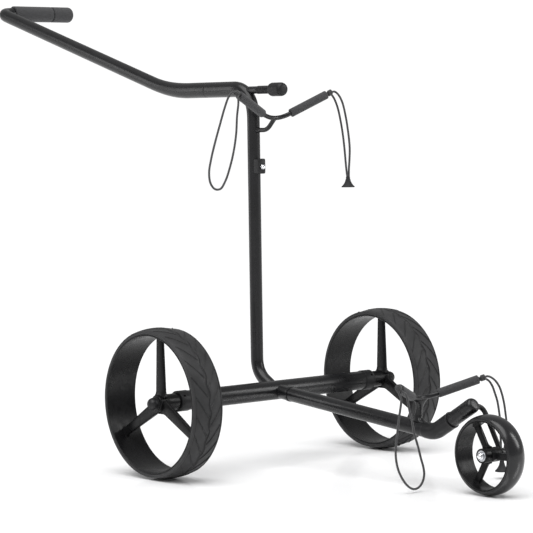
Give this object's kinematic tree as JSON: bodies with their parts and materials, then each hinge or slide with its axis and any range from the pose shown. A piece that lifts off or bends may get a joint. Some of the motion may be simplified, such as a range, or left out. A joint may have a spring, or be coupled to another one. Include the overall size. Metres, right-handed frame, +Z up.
{
  "type": "golf push cart",
  "caption": "Wheeled push cart with a tubular frame, bag cradles with foam sleeves and shock cords, a single-sided front fork, quick-release rear wheels and a swivelling one-sided handle.",
  "frame": {"origin": "on the ground, below the middle of the cart's bounding box without its cords", "axes": "+Z up, -Y the way the cart rolls (front wheel), +Y to the handle, X across the axle"},
  "size_m": [0.6424, 1.6174, 0.9487],
  "materials": {
    "frame_gloss": "satin black powder coat with soft highlights",
    "casting": "fine satin black",
    "moulded_black": "satin black moulding",
    "rim": "satin black moulding",
    "tyre": "matte rubber with a leaf-vein tread",
    "front_tyre": "smooth glossy rubber",
    "foam": "matte closed-cell foam",
    "rubber": "matte rubber",
    "cord": "braided shock cord",
    "steel": "turned steel",
    "chrome": "polished chrome plate"
  },
  "bodies": {
    "frame": {"axle_tube": "frame_gloss", "mast_tube": "frame_gloss", "front_stub": "frame_gloss", "upper_cradle": "frame_gloss", "upper_left_sleeve": "foam", "upper_right_sleeve": "foam", "upper_left_knot": "cord", "upper_right_knot": "cord", "upper_left_cord": "cord", "upper_right_outer_cord": "cord", "upper_right_inner_cord": "cord", "upper_hook": "rubber", "accessory_block": "moulded_black", "accessory_nut": "chrome", "accessory_screw": "steel", "left_axle_plug": "moulded_black", "right_axle_plug": "moulded_black", "left_spindle": "steel", "right_spindle": "steel"},
    "handle": {"handle_tube": "frame_gloss", "grip_sleeve": "foam", "grip_end": "foam"},
    "clamp": {"clamp_knob": "moulded_black", "clamp_screw": "frame_gloss"},
    "front_arm": {"front_tube": "frame_gloss", "elbow_casting": "casting", "stem_tube": "frame_gloss", "lower_cradle": "frame_gloss", "lower_left_sleeve": "foam", "lower_right_sleeve": "foam", "lower_left_knot": "cord", "lower_right_knot": "cord", "lower_left_cord": "cord", "lower_right_outer_cord": "cord", "lower_right_inner_cord": "cord", "lower_hook": "rubber"},
    "fork": {"stem_cap": "casting", "swivel_pin": "steel", "fork_rod": "frame_gloss", "front_axle_bolt": "steel", "front_spacer": "steel", "front_axle_nut": "chrome"},
    "front_wheel": {"front_tyre": "front_tyre", "front_rim": "rim", "front_near_bearing": "steel", "front_far_bearing": "steel"},
    "left_wheel": {"left_tyre": "tyre", "left_rim": "rim", "left_inner_bearing": "steel", "left_outer_bearing": "steel", "left_hub_cap": "moulded_black"},
    "right_wheel": {"right_tyre": "tyre", "right_rim": "rim", "right_inner_bearing": "steel", "right_outer_bearing": "steel", "right_hub_cap": "moulded_black"},
    "left_collar": {"left_release_collar": "moulded_black"},
    "right_collar": {"right_release_collar": "moulded_black"}
  },
  "joints": [
    {"name": "left_wheel_spin", "type": "hinge", "parent": "frame", "child": "left_wheel", "pos_m": [-0.2867, -0.149, 0.145], "axis": [1, 0, 0], "continuous": true},
    {"name": "right_wheel_spin", "type": "hinge", "parent": "frame", "child": "right_wheel", "pos_m": [0.2867, -0.149, 0.145], "axis": [1, 0, 0], "continuous": true},
    {"name": "front_wheel_spin", "type": "hinge", "parent": "fork", "child": "front_wheel", "pos_m": [0, -0.7352, 0.0735], "axis": [1, 0, 0], "continuous": true},
    {"name": "fork_tracking", "type": "hinge", "parent": "front_arm", "child": "fork", "pos_m": [0, -0.67603, 0.14926], "axis": [0, -0.859, 0.512], "range_deg": [-12, 12]},
    {"name": "front_arm_pull", "type": "slide", "parent": "frame", "child": "front_arm", "axis": [0, -0.9956, -0.0941], "range_m": [0, 0.06]},
    {"name": "handle_swivel", "type": "hinge", "parent": "frame", "child": "handle", "pos_m": [0, 0.047, 0.744], "axis": [0, 1, 0], "range_deg": [-90, 90]},
    {"name": "clamp_turn", "type": "hinge", "parent": "frame", "child": "clamp", "pos_m": [0, -0.149, 0.7415], "axis": [0, 1, 0], "range_deg": [-360, 0]},
    {"name": "left_collar_release", "type": "slide", "parent": "frame", "child": "left_collar", "axis": [1, 0, 0], "range_m": [0, 0.0045], "stiffness_N_per_m": 250, "springref_m": -0.003},
    {"name": "right_collar_release", "type": "slide", "parent": "frame", "child": "right_collar", "axis": [-1, 0, 0], "range_m": [0, 0.0045], "stiffness_N_per_m": 250, "springref_m": -0.003}
  ]
}
